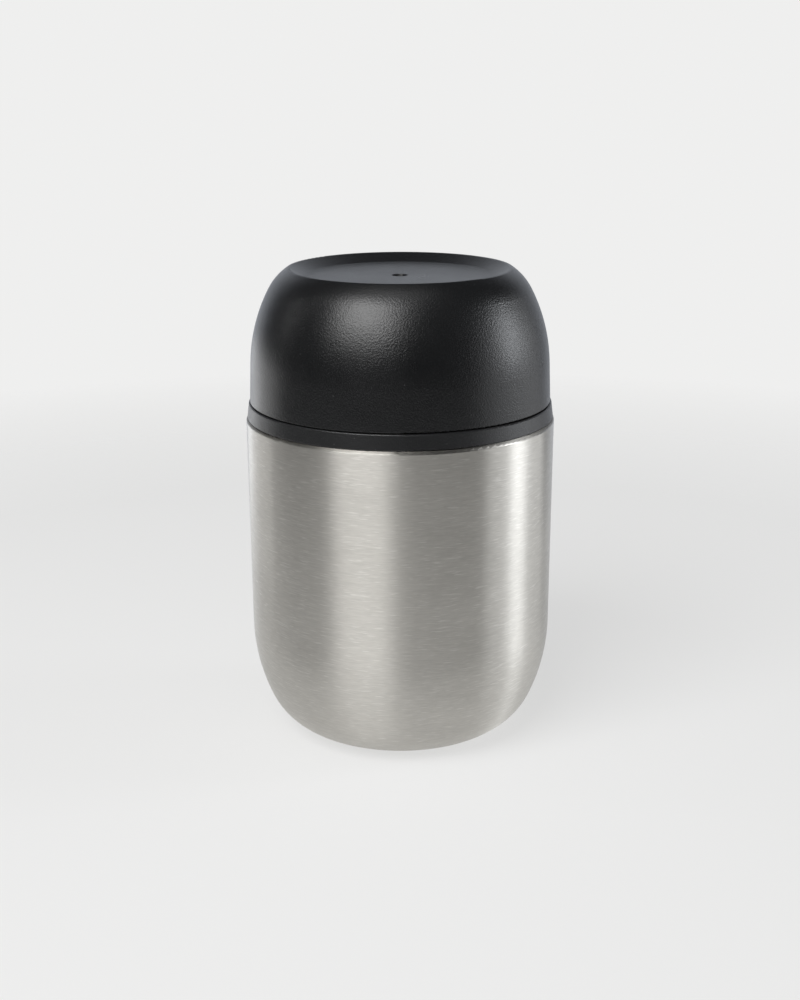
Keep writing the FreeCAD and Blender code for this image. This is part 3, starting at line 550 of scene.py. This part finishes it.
def studio_world():
    """Pale to the camera, and to reflections of what is low behind the jar; a dim room everywhere else."""
    world = bpy.data.worlds.new("studio")
    bpy.context.scene.world = world
    world.use_nodes = True
    tree = world.node_tree
    tree.nodes.clear()
    direction = wired(tree, "TexCoord").outputs["Generated"]
    parts = wired(tree, "SeparateXYZ", {0: direction}).outputs
    behind = spread(tree, parts["Y"], 0.64, 0.86, 0.0, 1.0)
    sideways = spread(tree, parts["X"], -0.55, -0.15, BACKDROP_LEFT, BACKDROP_RIGHT)
    low = spread(tree, parts["Z"], 0.35, 0.95, 1.0, 0.0)
    backdrop_share = result_of(tree, "MULTIPLY", behind, low)
    path = wired(tree, "LightPath").outputs
    shiny = result_of(tree, "MAXIMUM", path["Is Glossy Ray"], path["Is Transmission Ray"])
    mirrored = result_of(tree, "MULTIPLY", shiny, backdrop_share)
    share = result_of(tree, "MAXIMUM", path["Is Camera Ray"], mirrored)
    colour = mixed_colour(tree, path["Is Camera Ray"], BACKDROP_COLOUR, PALE)
    level = wired(tree, "Mix", {0: path["Is Camera Ray"], 2: sideways, 3: 1.0}).outputs[0]
    backdrop = wired(tree, "Background", {"Color": colour, "Strength": level}).outputs[0]
    room = wired(tree, "Background", {"Color": ROOM_COLOUR, "Strength": ROOM_LEVEL}).outputs[0]
    mix = wired(tree, "MixShader", {0: share, 1: room, 2: backdrop}).outputs[0]
    wired(tree, "OutputWorld", {"Surface": mix})


def studio_floor():
    """Pale table that fades out into the background, and keeps the jar's shadow."""
    bpy.ops.mesh.primitive_circle_add(vertices=FLOOR_SIDES, radius=FLOOR_RADIUS, fill_type="NGON",
                                      location=(0, 0, -FLOOR_DROP))
    floor = bpy.context.object
    floor.name = "floor"
    finish = bpy.data.materials.new("pale_floor")
    finish.use_nodes = True
    tree = finish.node_tree
    tree.nodes.clear()
    place = wired(tree, "TexCoord").outputs["Object"]
    reach = wired(tree, "VectorMath", {0: place}, operation="LENGTH").outputs["Value"]
    fade = spread(tree, reach, FLOOR_FADE_STARTS, FLOOR_FADE_ENDS, 0.0, 1.0)
    path = wired(tree, "LightPath").outputs
    table = wired(tree, "BsdfDiffuse", {"Color": PALE}).outputs[0]
    even = wired(tree, "Emission", {"Color": PALE, "Strength": 1.0}).outputs[0]
    viewed = result_of(tree, "MAXIMUM", path["Is Camera Ray"], path["Is Glossy Ray"])
    even_share = result_of(tree, "MULTIPLY", viewed, FLOOR_EVEN_SHARE)
    lit = wired(tree, "MixShader", {0: even_share, 1: table, 2: even}).outputs[0]
    clear = wired(tree, "BsdfTransparent").outputs[0]
    mix = wired(tree, "MixShader", {0: fade, 1: lit, 2: clear}).outputs[0]
    wired(tree, "OutputMaterial", {"Surface": mix})
    floor.data.materials.append(finish)


def photo_camera():
    """The camera, at the photograph's place and angle."""
    camera = bpy.data.objects.new("camera", bpy.data.cameras.new("camera"))
    bpy.context.scene.collection.objects.link(camera)
    camera.data.lens = CAMERA_LENS
    tilt = Matrix.Rotation(math.pi / 2 - CAMERA_PITCH, 4, "X") @ Matrix.Rotation(CAMERA_ROLL, 4, "Z")
    camera.matrix_world = Matrix.Translation(CAMERA_PLACE) @ tilt
    bpy.context.scene.camera = camera


make_finishes()
dress_nodes()

# Piece, node, body, bore, rounding of the edges, and width and depth of the lips
silicone_ring("lid_ring_rubber", "lid_seal", "lid_ring", 0.04222, 0.00035, 0.0006, 0.00022)
silicone_ring("stopper_ring_rubber", "stopper_seal", "stopper_ring", 0.03842, 0.00030, 0.00035, 0.00015)
silicone_ring("collar_ring_rubber", "collar_seal", "jar", 0.04302, 0.00028, 0.0005, 0.00018)
silicone_ring("vent_washer", "vent_seal", "vent", 0.00245, 0.00030, 0.0004, 0.00018)
foam_ring()
stopper_head()
button_spring()

studio_world()
studio_floor()

# Azimuth and elevation in degrees, distance, width and height in metres, brightness and colour
softbox("key_box", -32, 44, 1.1, 0.76, 0.68, 7.1)
softbox("top_box", -24, 77, 1.2, 0.8, 0.5, 1.1)
softbox("left_strip", -102, 22, 1.2, 0.045, 0.5, 5.0)
softbox("left_wall", -129, -9, 1.0, 0.85, 0.22, 1.7)
softbox("right_box", 95, 14, 1.2, 0.32, 0.55, 6.3, (0.93, 0.96, 1.0))
softbox("right_fill", 96, 0, 1.3, 1.6, 1.1, 1.15, (0.95, 0.97, 1.0))
photo_camera()
bpy.context.scene.view_settings.view_transform = "Standard"
